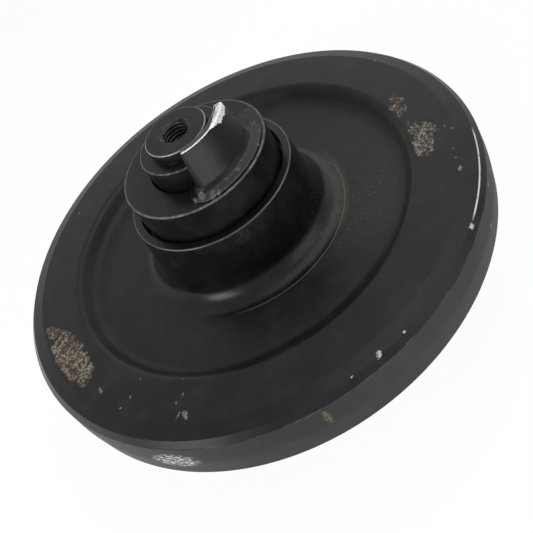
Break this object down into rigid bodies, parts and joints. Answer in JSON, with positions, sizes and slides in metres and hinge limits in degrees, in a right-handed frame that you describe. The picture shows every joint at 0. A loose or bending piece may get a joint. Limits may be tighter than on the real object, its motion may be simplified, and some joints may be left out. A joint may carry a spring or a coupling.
{
  "type": "rear idler",
  "caption": "Black painted single-disc track idler wheel turning on a fixed, oil-filled shaft with tapped ends, lapped face seals and pinned collars with anti-rotation lugs.",
  "frame": {"origin": "middle of the wheel on its spin axis, which is the centre of the bounding box", "axes": "+Z along the spin axis out of the front face, the one in the picture; -Y from the axis to the lugs; +X completes the right-handed frame"},
  "size_m": [0.402, 0.402, 0.2618],
  "materials": {
    "black_paint": "semi-gloss black paint on cast and turned steel",
    "bearing_bronze": "machined bearing bronze, oiled",
    "seal_steel": "ground and lapped hard steel",
    "seal_rubber": "matte black nitrile rubber"
  },
  "bodies": {
    "shaft_assembly": {"shaft": "black_paint", "oil_plug": "seal_steel", "collar_front": "black_paint", "lock_pin_front": "seal_steel", "shaft_o_ring_front": "seal_rubber", "fixed_seal_ring_front": "seal_steel", "fixed_toric_front": "seal_rubber", "collar_rear": "black_paint", "lock_pin_rear": "seal_steel", "shaft_o_ring_rear": "seal_rubber", "fixed_seal_ring_rear": "seal_steel", "fixed_toric_rear": "seal_rubber"},
    "wheel": {"idler_wheel": "black_paint", "bush_front": "bearing_bronze", "thrust_washer_front": "bearing_bronze", "turning_seal_ring_front": "seal_steel", "turning_toric_front": "seal_rubber", "bush_rear": "bearing_bronze", "thrust_washer_rear": "bearing_bronze", "turning_seal_ring_rear": "seal_steel", "turning_toric_rear": "seal_rubber"}
  },
  "joints": [
    {"name": "wheel_spin", "type": "hinge", "parent": "shaft_assembly", "child": "wheel", "pos_m": [0, 0, 0], "axis": [0, 0, 1], "continuous": true}
  ]
}
